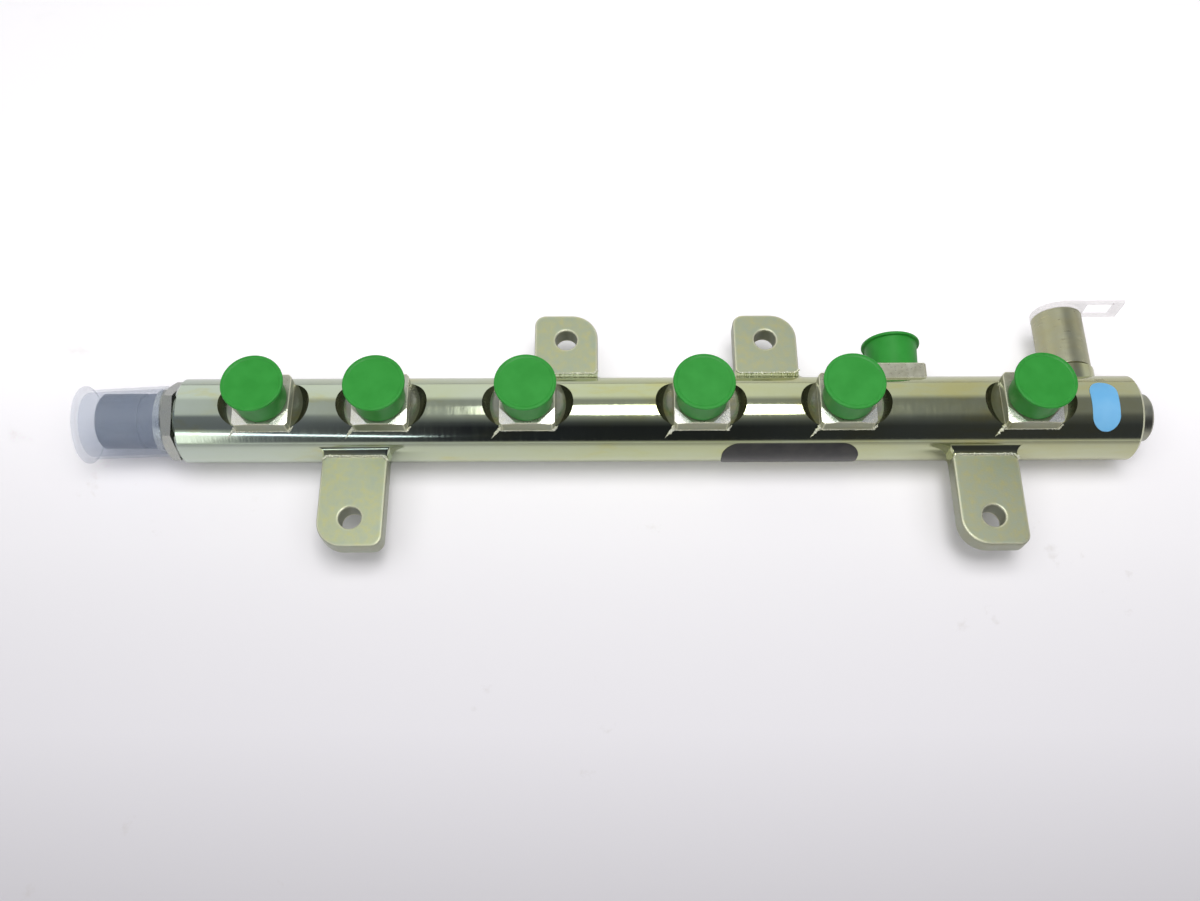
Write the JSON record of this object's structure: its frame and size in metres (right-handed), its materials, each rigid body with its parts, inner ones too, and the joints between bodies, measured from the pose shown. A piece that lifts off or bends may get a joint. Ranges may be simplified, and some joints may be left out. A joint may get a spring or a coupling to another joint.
{
  "type": "fuel rail",
  "caption": "Forged round diesel fuel rail with capped outlet ports, bolting tabs, an end pressure sensor, an end plug and a pressure limiting valve at the rear.",
  "frame": {"origin": "middle of the front pair of tab holes, on the seating face under the tabs", "axes": "+X along the rail from the sensor end to the plug end, +Y to the rear where the inlet and the limiting valve point, +Z the way the outlet ports point"},
  "size_m": [0.4155, 0.1009, 0.0495],
  "materials": {
    "rail_zinc": "satin",
    "green_cap": "satin",
    "sensor_steel": "satin",
    "soft_iron": "satin",
    "black_plastic": "matte",
    "contact_brass": "satin",
    "milky_cover": "satin",
    "valve_zinc": "satin",
    "hardened_steel": "polished",
    "spring_steel": "satin",
    "clear_cap": "gloss",
    "dark_steel": "satin",
    "plate_black": "satin",
    "label_blue": "satin"
  },
  "bodies": {
    "rail": {"rail_body": "rail_zinc", "port_cap_1": "green_cap", "port_cap_2": "green_cap", "port_cap_3": "green_cap", "port_cap_4": "green_cap", "port_cap_5": "green_cap", "port_cap_6": "green_cap", "inlet_cap": "green_cap", "sensor_body": "sensor_steel", "sensor_seal_ring": "soft_iron", "sensor_housing": "black_plastic", "sensor_pins": "contact_brass", "sensor_cover": "milky_cover", "valve_body": "valve_zinc", "valve_spring": "spring_steel", "valve_shim": "hardened_steel", "valve_retainer": "hardened_steel", "valve_outlet_cap": "clear_cap", "end_plug": "dark_steel", "plug_washer": "soft_iron", "data_plate": "plate_black", "blue_label": "label_blue"},
    "plunger": {"valve_plunger": "hardened_steel"}
  },
  "joints": [
    {"name": "plunger_lift", "type": "slide", "parent": "rail", "child": "plunger", "axis": [0, 1, 0], "range_m": [0, 0.0012], "stiffness_N_per_m": 20000, "springref_m": -0.003, "deforming": ["valve_spring"]}
  ]
}
